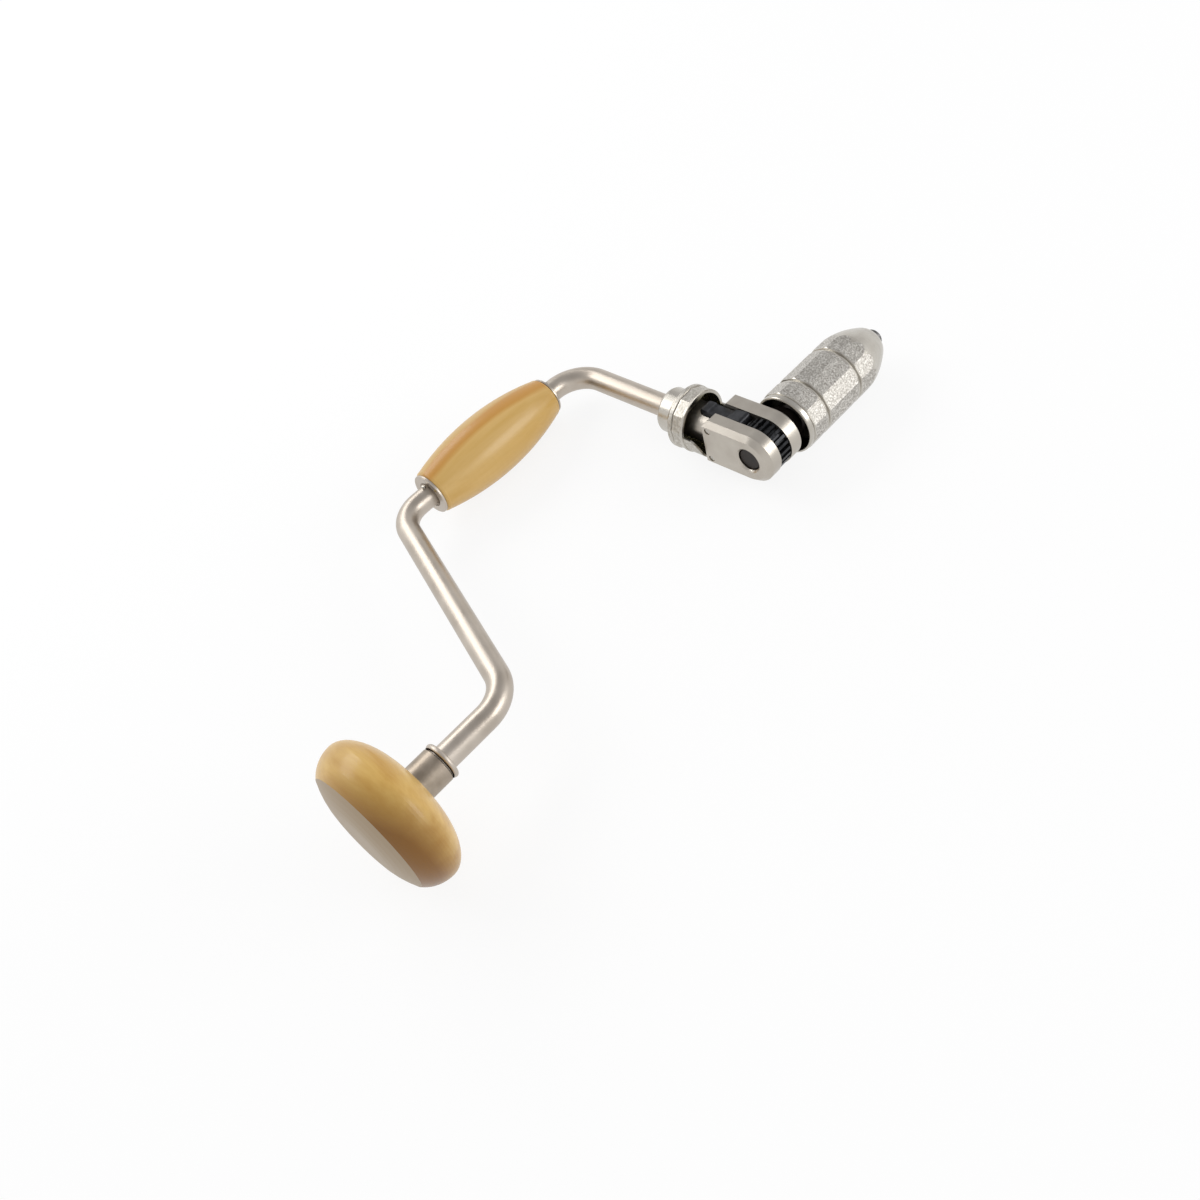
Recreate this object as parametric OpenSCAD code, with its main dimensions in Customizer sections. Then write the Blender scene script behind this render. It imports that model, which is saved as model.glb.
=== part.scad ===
// Ratchet bit brace, 10 inch sweep. Millimetres.
// X runs along the bit axis from the head's face to the jaws, Y points from the bit axis to the grip,
// and Z is square to the plane of the crank. The origin is the centre of the flat on the head's face.

/* [Crank] */
// Radius of the round bar that the crank is bent from
bar_r = 5.85; // [5:0.05:7]
// Distance from the bit axis to the grip's axis, half of the sweep
throw = 127; // [100:1:178]
// Distance from the head's face to the bend where the slanted arm starts
bend_head_x = 83.5; // [70:0.5:110]
// Distance from the head's face to the bend where the grip's bar starts
bend_grip_x = 129.5; // [115:0.5:135]
// Distance from the head's face to the axis of the arm that carries the ratchet
arm_x = 259.6; // [256:0.2:275]
// Centreline radius of the bend at the head
bend_head_r = 20; // [14:0.5:26]
// Centreline radius of the bend before the grip
bend_grip_r = 17; // [13:0.5:17]
// Centreline radius of the bend after the grip
bend_arm_r = 18; // [14:0.5:20]

/* [Head] */
// Radius of the turned flat in the middle of the face
face_flat_r = 12; // [8:0.5:16]
// Radius of the sharp edge round the face
face_rim_r = 29.5; // [26:0.5:33]
// How far the edge of the face lies behind its middle
face_rise = 4; // [2:0.5:6]
// Largest radius of the head
head_r = 35.4; // [34:0.2:42]
// Distance from the face to the head's largest radius
head_belly_x = 16.3; // [14:0.1:19]
// Distance from the face to where the wood meets the quill
head_back_x = 30; // [27:0.5:33]
// Wood left between the face and the bottom of the bore
head_floor = 9.4; // [7:0.2:10]
// Outer radius of the quill, the steel tube that the head turns on
quill_r = 8.35; // [8.1:0.05:9.5]
// Length of quill that stands out of the wood
quill_reach = 12.5; // [10:0.5:16]
// Radius of the threaded end of the bar that holds the head's nut
stud_r = 4; // [3.5:0.1:4.5]
// Width across the flats of the head's nut
nut_af = 13; // [11:0.5:13.5]
// Radius of the balls in the head's thrust bearing
head_ball_r = 0.65; // [0.5:0.05:0.65]
// Number of balls in the head's thrust bearing
head_balls_n = 20; // [10:1:24]
// Width of the beaded collar behind the quill
collar_w = 2.7; // [2:0.1:4]
// Radius of the beaded collar
collar_r = 8.8; // [8.4:0.1:10]

/* [Grip] */
// Distance from the head's face to the start of the grip's wood
grip_x = 150.3; // [150:0.1:156]
// Length of the grip's wood
grip_len = 84.7; // [78:0.1:84.7]
// Largest radius of the grip
grip_r = 17.2; // [15:0.1:20]
// Distance from the head's face to the grip's largest radius
grip_belly_x = 191; // [185:0.5:196]
// Radius of the arc that the grip's side follows
grip_arc_r = 150; // [140:5:300]
// Radius of the rounding on the grip's ends
grip_end_r = 2.2; // [1:0.1:3]
// Radius of the washer at the end by the slanted arm
washer_low_r = 11.2; // [10.4:0.1:11.6]
// Radius of the washer at the end by the ratchet
washer_high_r = 10.2; // [9.6:0.1:10.6]
// Thickness of the washers on the grip's ends
washer_t = 1.2; // [0.8:0.1:2]
// Wall of the bush inside each end of the grip
bush_wall = 1.5; // [1:0.1:2]
// Length of bush inside the wood
bush_len = 13; // [8:0.5:20]
// Radius of the nails that hold the washers
nail_r = 0.8; // [0.6:0.1:0.8]
// Length of the nails
nail_len = 7; // [5:0.5:10]
// Radius of the pins through the bar that stop the grip
stop_pin_r = 1.1; // [0.9:0.1:1.3]
// How far the stop pins stand out of the bar
stop_pin_reach = 1.5; // [1.1:0.1:2]

/* [Ratchet box] */
// Half of the height of the box and radius of its round end
box_half = 13.5; // [13.3:0.1:14.5]
// Thickness of the box along the bit axis
box_t = 25.4; // [24:0.1:27]
// Width of the slot between the two cheeks
slot_w = 8.2; // [7.8:0.1:8.6]
// Bevel round the front face of the box
box_bevel = 2.6; // [1.5:0.1:3]
// Bevel round the back face of the box
box_back_bevel = 1.2; // [0.6:0.1:2]
// Distance from the bit axis to the cheeks' square end
cheek_end_y = 26.5; // [25.8:0.1:28]
// Cut corner at the cheeks' square end
cheek_corner = 2.5; // [1:0.1:3]
// Radius of the round neck between the cheeks and the bar
neck_r = 9.5; // [9.3:0.1:9.8]
// Distance from the bit axis to the neck's end
neck_end_y = 57; // [56:0.1:58]
// Distance from the bit axis to the round end of the slot
slot_end_y = 36.4; // [36.2:0.1:36.9]
// Distance from the bit axis to the end of the bar inside the neck
bar_seat_y = 42; // [41.5:0.1:43]
// Radius of the pin that holds the bar in the neck
box_pin_r = 1.5; // [1.2:0.1:1.8]
// Distance from the bit axis to the pin that holds the bar in the neck
box_pin_y = 46; // [45:0.2:48]

/* [Ratchet] */
// Number of teeth on the ratchet wheel
teeth = 24; // [24:24:24]
// Radius over the tips of the teeth
wheel_r = 13.1; // [12.8:0.1:13.3]
// Depth of the teeth
tooth_h = 1.9; // [1.7:0.1:2.1]
// Gap beside the wheel and the pawls in the slot
slot_gap = 0.4; // [0.25:0.05:0.5]
// Radius of the pin through the wheel and the spindle
wheel_pin_r = 1.4; // [1.1:0.1:1.5]
// Distance from the bit axis to the pawl pins, along the arm
pawl_pin_y = 23.4; // [23.2:0.1:23.6]
// Distance from the crank's plane to the pawl pins
pawl_pin_z = 8.6; // [8.5:0.05:8.7]
// Radius of the pawl pins
pawl_pin_r = 1.7; // [1.4:0.1:1.8]
// Radius of a pawl round its pin
pawl_hub_r = 3.5; // [3.3:0.1:3.8]
// Distance from the bit axis to the rounded tail of a pawl
pawl_tail_y = 33.1; // [32.8:0.1:33.1]
// Radius of a pawl's rounded tail
pawl_tail_r = 2.6; // [2.3:0.1:2.7]

/* [Cam ring] */
// Radius of the cam ring's band
ring_r = 16.3; // [16:0.1:17.5]
// Number of flats on the cam ring's band
ring_flats = 12; // [12:1:12]
// Distance from the ring's axis to its flats
ring_flat_r = 15.6; // [15.3:0.1:15.7]
// Wall of the cam ring's cup
ring_wall = 1.8; // [1.7:0.1:2]
// Distance from the bit axis to the mouth of the cup
ring_mouth_y = 38; // [37.8:0.1:38.6]
// Distance from the bit axis to the end of the skirt under the lower pawl
ring_skirt_y = 27.8; // [27.4:0.1:32]
// Distance from the bit axis to the groove round the band
ring_groove_y = 44.6; // [44:0.1:45.5]
// Distance from the bit axis to the far edge of the band
ring_band_y = 47.5; // [47:0.1:48]
// Distance from the bit axis to where the cone meets the hub
ring_hub_y = 50.2; // [49.8:0.1:51]
// Distance from the bit axis to the end of the hub
ring_end_y = 58.7; // [58.2:0.1:60]
// Radius of the cam ring's hub
ring_hub_r = 11.7; // [11.2:0.1:12.6]
// Turn of the cam ring from locked to either ratchet direction
ring_turn = 30; // [20:5:40]
// Radius of the ball that clicks the cam ring into place
detent_r = 1.25; // [1:0.05:1.4]
// Distance from the bit axis to that ball
detent_y = 53.6; // [53.2:0.1:54]

/* [Chuck] */
// Radius of the spindle in the front cheek
journal_front_r = 6; // [5.5:0.1:6.3]
// Radius of the spindle through the wheel and the rear cheek
journal_rear_r = 7; // [6.8:0.1:7.4]
// Radius of the flange behind the box
flange_r = 10.2; // [9.8:0.1:11.5]
// Thickness of the thrust washer between box and flange
thrust_t = 1.5; // [1:0.1:2]
// Radius of the spindle's thread
screw_r = 9; // [8.9:0.1:9.3]
// Length of the spindle from the back of the shell to the end of its thread
screw_len = 40.4; // [39.4:0.1:42.4]
// Width of the slot in the spindle that holds the jaws
jaw_slot_w = 9.7; // [9:0.1:10.4]
// Radius of the shell over its corners
shell_r = 16.7; // [16.5:0.1:18]
// Number of flats on the shell
shell_flats = 12; // [12:1:12]
// Radius of the shell's plain rim
rim_r = 16.1; // [16:0.1:17]
// Wall of the shell round the opening at its back
mouth_wall = 1.3; // [1:0.1:2]
// Gap between the box and the back of the shell
shell_gap = 3.3; // [2.5:0.1:5]
// Length of the shell's plain rim
rim_len = 3.1; // [2.5:0.1:5]
// Length of the first band of flats
band_1_len = 12.4; // [10:0.1:14]
// Length of the second band of flats
band_2_len = 26.3; // [24:0.1:27]
// Length of the third band of flats
band_3_len = 7.6; // [6:0.1:8]
// Length of the shell's nose
nose_len = 23.3; // [22.5:0.1:25]
// Radius of the nose's end
nose_r = 7; // [6.9:0.1:7.6]
// Radius of the hole in the nose
nose_hole_r = 6.25; // [6.2:0.05:6.35]
// How far the closed jaws stand out of the nose
jaw_reach = 4.8; // [3:0.1:6]
// Radius of the round shank that the closed jaws hold
shank_r = 3.2; // [2.5:0.05:3.4]
// Depth of that round hole in the jaws
shank_depth = 30; // [24:0.5:32]

/* [Clearances] */
// Radial clearance of a shaft in its bore
run_gap = 0.06; // [0.03:0.01:0.1]
// Gap between faces that slide past each other
face_gap = 0.3; // [0.2:0.05:0.4]

/* [Hidden] */
$fn = 64;
hair = 0.01;            // overshoot of a cut
edge = 0.3;             // bevel that breaks a small sharp edge
nickel = [0.78, 0.77, 0.74];
steel = [0.62, 0.61, 0.58];
oxide = [0.16, 0.16, 0.17];
beech = [0.82, 0.66, 0.38];
brass = [0.8, 0.66, 0.35];

// Head, along X
quill_end_x = head_back_x + quill_reach;
bore_floor_x = head_floor;
washer_w = 1.3;
nut_w = 5;
stud_end_gap = 1;
nut_x = bore_floor_x + stud_end_gap + 1;
head_washer_x = nut_x + nut_w;
bar_start_x = head_washer_x + washer_w;
quill_start_x = bar_start_x + 0.4;
collar_gap = 0.6;
collar_x = quill_end_x + collar_gap;
spigot_w = 0.8;
collar_step = 0.5;
washer_gap = 0.55;
race_pocket_r = quill_r - 1.05;
ball_space = 2*head_ball_r + 0.1;
race_w = 1;
race_x = collar_x - spigot_w - ball_space - race_w;

// Grip, along X
grip_end_x = grip_x + grip_len;
bush_bore_r = bar_r + run_gap;
bush_r = bush_bore_r + bush_wall;
stop_gap = 0.35;
stop_low_x = grip_x - washer_t - stop_gap - stop_pin_r;
stop_high_x = grip_end_x + washer_t + stop_gap + stop_pin_r;
nail_head = 0.4;
bush_flare = 1.3;
bush_flare_w = 0.4;

// Box, along X and Y
box_x0 = arm_x - box_t/2;
box_x1 = arm_x + box_t/2;
slot_x0 = arm_x - slot_w/2;
wheel_w = slot_w - 2*slot_gap;
wheel_x0 = slot_x0 + slot_gap;
root_r = wheel_r - tooth_h;
tooth_step = 360/teeth;
spindle_recess = 1.6;
front_chamfer = 1;
neck_bevel = 0.8;
pin_recess = 0.5;
hub_bore_r = neck_r + run_gap;
cup_r = ring_r - ring_wall;
cup_floor_y = ring_band_y - 0.6;
groove_depth = 0.5;
groove_half = 0.5;
flange_lip = 0.6;       // rounding of the ring's plain flange at the mouth
ring_flange_w = 1.3;
skirt_r = 15.6;
skirt_round = 7;        // round corner of the skirt's edge
skirt_top_z = 0.6;
hub_round = 1.5;
ring_phase = -19;       // turn of the ring's flats from the crank's plane
land_depth = 2.1;
land_a = 82;            // turn of the land from the box's front to over the upper pawl

// Pawls: the nose sits in the third gap from the arm's direction and lifts along an arc round its pin
nose_a = 3*tooth_step;
tip_half_a = 0.2*tooth_step;
root_half_a = 0.34*tooth_step;
pawl_pin = [pawl_pin_y, pawl_pin_z];
nose_gap = 0.2;
next_tooth = polar(wheel_r, nose_a + tooth_step/2 - tip_half_a);
nose_reach = norm(next_tooth - pawl_pin) - nose_gap;
nose_depth = 1.4;       // how far the nose stands into the gap
knob_r = 1.9;
knob_rise = 14;         // slope of the pawl's back from its pin to the knob over the nose
belly_gap = 0.35;
nose_lean = [1.8, 2.9, 5.5];    // turn of the nose's leading side at its tip, at the wheel's rim and above it
nose_back = 3;          // turn of the nose's trailing side
nose_crown = 1.2;
tail_round_y = slot_end_y - slot_w/2 - face_gap;
pawl_tail_z = 9.4;
pawl_spring_y = pawl_tail_y - 2.6;
pawl_spring_half = pawl_tail_z - pawl_tail_r - 0.95;
back_dip_r = 2.4;       // the pawl's back is hollowed between its knob and its tail
back_dip_z = 13.6;
back_dip_y = [19.6, 28.2];

// Detent
detent_seat_r = neck_r - 0.95;
detent_bore_r = detent_r + 0.05;
spring_seat_r = 3.6;
click_groove_r = neck_r + 0.45;

// Chuck, along X
spindle_x0 = box_x0 + spindle_recess;
thrust_x = box_x1 + 0.1;
flange_x = thrust_x + thrust_t + 0.1;
flange_w = 3.1;
screw_x = flange_x + flange_w;
relief_w = 3;           // undercut between the flange and the thread
relief_rise = 0.8;
thread_lead = 1.2;
shell_x = box_x1 + shell_gap;
screw_end_x = shell_x + screw_len;
jaw_slot_len = 16.5;
slot_x = screw_end_x - jaw_slot_len;
band_x = [shell_x + rim_len, shell_x + rim_len + band_1_len, shell_x + rim_len + band_1_len + band_2_len,
    shell_x + rim_len + band_1_len + band_2_len + band_3_len];
nose_x = band_x[3];
shell_end_x = nose_x + nose_len;
flat_r = shell_r*cos(180/shell_flats);
mouth_r = min(flat_r, rim_r) - mouth_wall;
shell_phase = 16.5;     // turn of the shell's flats from the crank's plane
band_rise = 1;          // depth of the line between two bands
band_back = 0.8;        // length of a band's edge towards the box
band_front = 3.4;       // length of a band's round shoulder towards the nose
shoulder_bow = 1.5;
rim_round = 0.7;
nose_fall = 8.2;        // how far the nose falls before its lip turns in
nose_bow = 1.8;
lip_w = 3.3;
mouth_len = 13.5;        // from the shell's back to its thread
thread_len = 13;
thread_x0 = shell_x + mouth_len;
thread_x1 = thread_x0 + thread_len;
bore_taper = 3;         // length of each cone between the thread and the wider bores
chamber_r = 13.6;
race_flange_x = nose_x + 3.8;
race_flange_w = 1.5;
race_ball_r = 1.2;
race_ball_gap = 0.06;
race_ball_pcr = chamber_r - race_ball_r - race_ball_gap;
race_balls_n = 24;
shoulder_x = race_flange_x + race_flange_w + 2*(race_ball_r + race_ball_gap);
cone_x0 = race_flange_x + race_flange_w;
cone_x1 = shell_end_x - 3.5;
cone_r0 = 10.2;
cone_slope = 0.25;
cone_wall = 1;
cone_r1 = cone_r0 - cone_slope*(cone_x1 - cone_x0);
jaw_x0 = slot_x + face_gap;
jaw_x1 = shell_end_x + jaw_reach;
jaw_half_gap = 0.2;
jaw_tail_h = 6.2;
jaw_heel_r = (jaw_tail_h - jaw_half_gap)/2;     // the jaw rocks on this round heel
jaw_heel = [jaw_x0 + jaw_heel_r, jaw_half_gap + jaw_heel_r];
jaw_head_x = screw_end_x + 6;
jaw_lead = 1.2;
jaw_tip_r = nose_hole_r - 1.2;
jaw_spring_x = screw_end_x - 7;
jaw_pocket_r = 2.2;
jaw_pocket_h = 3.4;

// Path of the crank's centreline in the XY plane
path = [[bar_start_x, 0], [bend_head_x, 0], [bend_grip_x, throw], [arm_x, throw], [arm_x, bar_seat_y]];
bend_r = [0, bend_head_r, bend_grip_r, bend_arm_r];
bend_swell = 0.04;      // a bend is this much thicker than the straight bar that runs into it
bar_lap = 0.6;

function unit(v) = v/norm(v);
function way(i) = unit(path[i + 1] - path[i]);
function heading(v) = atan2(v.y, v.x);
function turn(i) = let (t = heading(way(i)) - heading(way(i - 1)))
    t > 180 ? t - 360 : t < -180 ? t + 360 : t;
function reach(i) = bend_r[i]*tan(abs(turn(i))/2);
function bend_start(i) = path[i] - way(i - 1)*reach(i);
function bend_end(i) = path[i] + way(i)*reach(i);
function polar(r, a) = [r*cos(a), r*sin(a)];
// Point t of the curve that leaves a towards b and reaches c from b
function bow(a, b, c, t) = (1 - t)*(1 - t)*a + 2*t*(1 - t)*b + t*t*c;

// Puts +Z of its children along the bit axis, x from the face
module along_x(x = 0, y = 0) translate([x, y, 0]) rotate([0, 90, 0]) children();

// Puts +Z of its children along the ratchet's arm, away from the bit axis
module along_arm(y = 0) translate([arm_x, y, 0]) rotate([-90, 0, 0]) children();

// Turned piece on the bit axis from an outline of [radius, x] points
module turned(points) rotate([0, 90, 0]) rotate_extrude($fn = 96) polygon(points);

// Plain tube along +Z
module tube(r_out, r_in, h) difference() {
    cylinder(r = r_out, h = h);
    translate([0, 0, -1]) cylinder(r = r_in, h = h + 2);
}

// Cylinder along +Z with both ends bevelled
module bevelled_rod(r, h, c) rotate_extrude()
    polygon([[0, 0], [r - c, 0], [r, c], [r, h - c], [r - c, h], [0, h]]);

// Flat link between two round ends
module link(p, rp, q, rq) hull() {
    translate(p) circle(rp, $fn = 32);
    translate(q) circle(rq, $fn = 32);
}

// Piece of the ratchet cut from plate: children are drawn in [Y, Z] and stand across the slot
module across_slot(x, w) translate([x, 0, 0]) rotate([90, 0, 90]) linear_extrude(w) children();

// Coil along +Z as one closed mesh
module coil(r, wire, h, turns) {
    sides = 6;
    steps = 10*turns;
    rise = h - 2*wire;
    ring = [for (i = [0:steps], k = [0:sides - 1]) let (
            a = 360*turns*i/steps,
            q = polar(wire, 360*k/sides),
            m = r - wire + q.x)
        [m*cos(a), m*sin(a), wire + rise*i/steps + q.y]];
    faces = [for (i = [0:steps - 1], k = [0:sides - 1]) let (
            n = (k + 1)%sides, b = i*sides, c = (i + 1)*sides)
        each [[b + k, c + k, c + n], [b + k, c + n, b + n]]];
    first = [for (k = [1:sides - 2]) [0, k, k + 1]];
    last = [for (k = [1:sides - 2]) [steps*sides, steps*sides + k + 1, steps*sides + k]];
    polyhedron(ring, concat(faces, first, last));
}

// Crank

// Straight stretch from p to q, run a little way into the bend at each end that has one
module bar_between(p, q, into_p, into_q) translate([p.x, p.y, 0]) rotate([0, 0, heading(q - p)])
    translate([-into_p, 0, 0]) rotate([0, 90, 0]) cylinder(r = bar_r, h = norm(q - p) + into_p + into_q);

module bar_bend(i) {
    side = sign(turn(i));
    inward = polar(1, heading(way(i - 1)) + 90*side);
    centre = bend_start(i) + inward*bend_r[i];
    from = heading(bend_start(i) - centre);
    translate([centre.x, centre.y, 0]) rotate([0, 0, side > 0 ? from : from + turn(i)])
        rotate_extrude(angle = abs(turn(i))) translate([bend_r[i], 0]) circle(bar_r + bend_swell);
}

module stop_pin_holes() for (x = [stop_low_x, stop_high_x])
    translate([x, throw, 0]) cylinder(r = stop_pin_r, h = 4*bar_r, center = true);

module detent_hole() along_arm(detent_y) rotate([0, 90, 0]) translate([0, 0, spring_seat_r])
    cylinder(r = detent_bore_r, h = neck_r);

module box_pin_hole(r = box_pin_r) along_x(arm_x - 2*neck_r, box_pin_y) cylinder(r = r, h = 4*neck_r);

module crank() color(steel) difference() {
    union() {
        bar_between(path[0], bend_start(1), 0, bar_lap);
        for (i = [1:3]) bar_bend(i);
        for (i = [1:2]) bar_between(bend_end(i), bend_start(i + 1), bar_lap, bar_lap);
        bar_between(bend_end(3), path[4], bar_lap, 0);
        along_x(nut_x - stud_end_gap) cylinder(r = stud_r, h = path[0].x - nut_x + stud_end_gap);
    }
    stop_pin_holes();
    box_pin_hole();
    detent_hole();
}

// Head

module head_collar() color(nickel) turned([
    [bar_r, collar_x - spigot_w], [race_pocket_r - face_gap, collar_x - spigot_w],
    [race_pocket_r - face_gap, collar_x],
    [collar_r - collar_step, collar_x],
    for (a = [-90:15:60]) [collar_r - collar_w/2, collar_x + collar_w/2] + collar_w/2*[cos(a), sin(a)],
    [bar_r, collar_x + collar_w]]);

module head_washer() color(steel) along_x(head_washer_x) tube(quill_r - washer_gap, stud_r, washer_w);

module head_nut() color(steel) along_x(nut_x) difference() {
    cylinder(r = nut_af/2/cos(30), h = nut_w, $fn = 6);
    translate([0, 0, -1]) cylinder(r = stud_r, h = nut_w + 2);
}

module head_knob() {
    side_x = head_belly_x - face_rise;
    side_r = head_r - face_rim_r;
    sweep = 2*atan(side_r/side_x);
    side_arc = side_x/sin(sweep);
    color(beech) turned([
        [0, 0],
        for (t = [0:0.2:1]) [face_flat_r + t*(face_rim_r - face_flat_r), t*t*face_rise],
        for (t = [0.9:-0.1:0]) [head_r - side_arc*(1 - cos(t*sweep)), head_belly_x - side_arc*sin(t*sweep)],
        for (t = [6:6:90])
            [quill_r + (head_r - quill_r)*cos(t), head_belly_x + (head_back_x - head_belly_x)*sin(t)],
        [quill_r, bore_floor_x],
        [0, bore_floor_x]]);
}

module head_quill() color(nickel) turned([
    [bar_r + run_gap, quill_start_x], [quill_r, quill_start_x], [quill_r, quill_end_x - edge],
    [quill_r - edge, quill_end_x], [race_pocket_r, quill_end_x], [race_pocket_r, race_x],
    [bar_r + run_gap, race_x]]);

module head_race() color(steel) along_x(race_x) tube(race_pocket_r - 0.05, bar_r + run_gap + 0.04, race_w);

module head_balls() color(steel) for (i = [0:head_balls_n - 1]) rotate([i*360/head_balls_n, 0, 0])
    translate([race_x + race_w + ball_space/2, 0, (race_pocket_r + bar_r)/2]) sphere(head_ball_r);

// Grip

function grip_side(x) = grip_r - grip_arc_r + sqrt(pow(grip_arc_r, 2) - pow(x - grip_belly_x, 2));

module at_nails() for (e = [[grip_x - washer_t, washer_low_r, 1], [grip_end_x + washer_t, washer_high_r, -1]],
        a = [50, 230])
    translate([e[0], throw, 0]) rotate([a, 0, 0]) translate([0, 0, (e[1] + bush_r)/2]) rotate([0, 90*e[2], 0])
        children();

module nail_holes() at_nails() cylinder(r = nail_r, h = nail_len);

module grip() {
    first = grip_x + grip_end_r;
    last = grip_end_x - grip_end_r;
    color(beech) difference() {
        translate([0, throw, 0]) turned([
            [bush_r, grip_x],
            for (a = [90:-15:15]) [grip_side(first) - grip_end_r*(1 - cos(a)), first - grip_end_r*sin(a)],
            for (i = [0:24]) let (x = first + (last - first)*i/24) [grip_side(x), x],
            for (a = [15:15:90]) [grip_side(last) - grip_end_r*(1 - cos(a)), last + grip_end_r*sin(a)],
            [bush_r, grip_end_x]]);
        nail_holes();
    }
}

// Flanged bush: washer on the outside and tube inside the wood, from the wood's end face
module grip_bush(x, r, way) color(nickel) difference() {
    translate([x, throw, 0]) rotate([0, 90*way, 0]) rotate_extrude() polygon([
        [bush_bore_r + bush_flare, -washer_t], [r - edge, -washer_t], [r, -washer_t + edge], [r, 0],
        [bush_r, 0], [bush_r, bush_len], [bush_bore_r, bush_len], [bush_bore_r, bush_flare_w]]);
    nail_holes();
}

module grip_bush_lower() grip_bush(grip_x, washer_low_r, 1);

module grip_bush_upper() grip_bush(grip_end_x, washer_high_r, -1);

module grip_nails() color(brass) at_nails() {
    cylinder(r = nail_r, h = nail_len);
    translate([0, 0, -nail_head]) cylinder(r1 = 0.6*nail_r, r2 = 1.3*nail_r, h = nail_head);
}

module grip_stop_pins() color(steel) for (x = [stop_low_x, stop_high_x])
    translate([x, throw, -bar_r - stop_pin_reach]) bevelled_rod(stop_pin_r, 2*(bar_r + stop_pin_reach), edge);

// Ratchet box

// Solid form of the box before its slot, with bevelled outer faces and half-round end
module box_blank() {
    turned([[0, box_x0], [box_half - box_bevel, box_x0], [box_half, box_x0 + box_bevel],
        [box_half, box_x1 - box_back_bevel], [box_half - box_back_bevel, box_x1], [0, box_x1]]);
    intersection() {
        rotate([-90, 0, 0]) linear_extrude(cheek_end_y) polygon([
            [box_x0, box_half - box_bevel], [box_x0 + box_bevel, box_half],
            [box_x1 - box_back_bevel, box_half], [box_x1, box_half - box_back_bevel],
            [box_x1, box_back_bevel - box_half], [box_x1 - box_back_bevel, -box_half],
            [box_x0 + box_bevel, -box_half], [box_x0, box_bevel - box_half]]);
        across_slot(box_x0 - 1, box_t + 2) polygon([
            [-box_half, -box_half - 1], [cheek_end_y - cheek_corner - 1, -box_half - 1],
            [cheek_end_y, cheek_corner - box_half], [cheek_end_y, box_half - cheek_corner],
            [cheek_end_y - cheek_corner - 1, box_half + 1], [-box_half, box_half + 1]]);
    }
    along_arm(0) cylinder(r = neck_r, h = neck_end_y - neck_bevel);
    along_arm(neck_end_y - neck_bevel) cylinder(r1 = neck_r, r2 = neck_r - neck_bevel, h = neck_bevel);
}

module ratchet_box() color(nickel) difference() {
    box_blank();
    translate([slot_x0, -2*box_half, -2*box_half])
        cube([slot_w, 2*box_half + slot_end_y - slot_w/2, 4*box_half]);
    translate([arm_x, slot_end_y - slot_w/2, 0]) cylinder(d = slot_w, h = 4*box_half, center = true);
    along_x(box_x0 - 1) cylinder(r = journal_front_r + run_gap, h = box_t/2);
    along_x(box_x0 - hair) cylinder(r1 = journal_front_r + run_gap + front_chamfer,
        r2 = journal_front_r + run_gap, h = front_chamfer);
    along_x(arm_x) cylinder(r = journal_rear_r + run_gap, h = box_t);
    for (z = [-pawl_pin_z, pawl_pin_z]) translate([0, pawl_pin_y, z]) along_x(box_x0 - 1)
        cylinder(r = pawl_pin_r, h = box_t + 2);
    along_arm(bar_seat_y) cylinder(r = bar_r, h = neck_end_y);
    box_pin_hole();
    detent_hole();
}

module box_pin() color(steel) along_x(arm_x - neck_r + pin_recess, box_pin_y)
    bevelled_rod(box_pin_r, 2*(neck_r - pin_recess), edge);

module pawl_pin(z) color(steel) translate([0, pawl_pin_y, z]) along_x(box_x0 + pin_recess)
    bevelled_rod(pawl_pin_r, box_t - 2*pin_recess, edge);

module pawl_pin_upper() pawl_pin(pawl_pin_z);

module pawl_pin_lower() pawl_pin(-pawl_pin_z);

// Hollow along a pawl's back
module pawl_dip() link([back_dip_y[0], back_dip_z], back_dip_r, [back_dip_y[1], back_dip_z], back_dip_r);

// Pawl for the upper pin: nose in a gap of the wheel, hub on its pin, rounded tail under the cam ring
module pawl_outline() {
    knob = pawl_pin + polar(nose_reach - knob_r, 180 - knob_rise);
    intersection() {
        union() {
            difference() {
                link(knob, knob_r, pawl_pin, pawl_hub_r);
                circle(wheel_r + belly_gap);
                pawl_dip();
            }
            polygon([polar(wheel_r - nose_depth, nose_a - nose_lean[0]),
                polar(wheel_r + belly_gap/2, nose_a - nose_lean[1]),
                polar(wheel_r + nose_crown, nose_a - nose_lean[2]), knob, knob - [knob_r + 1, 0],
                polar(wheel_r - nose_depth, nose_a + nose_back)]);
        }
        translate(pawl_pin) circle(nose_reach);
    }
    difference() {
        link(pawl_pin, pawl_hub_r, [pawl_tail_y, pawl_tail_z], pawl_tail_r);
        pawl_dip();
    }
}

// Plan of a pawl, rounded at its tail as the slot's end is
module pawl_plan() {
    translate([wheel_x0, 0, 0]) cube([wheel_w, tail_round_y, 2*box_half]);
    translate([arm_x, tail_round_y, 0]) cylinder(d = wheel_w, h = 2*box_half);
}

module pawl_upper() color(oxide) difference() {
    intersection() {
        across_slot(wheel_x0, wheel_w) pawl_outline();
        pawl_plan();
    }
    translate([0, pawl_pin_y, pawl_pin_z]) along_x(slot_x0) cylinder(r = pawl_pin_r + run_gap, h = slot_w);
}

module pawl_lower() mirror([0, 0, 1]) pawl_upper();

module pawl_spring() color(steel) translate([arm_x, pawl_spring_y, -pawl_spring_half])
    coil(2.4, 0.35, 2*pawl_spring_half, 6);

// Cam ring

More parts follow.
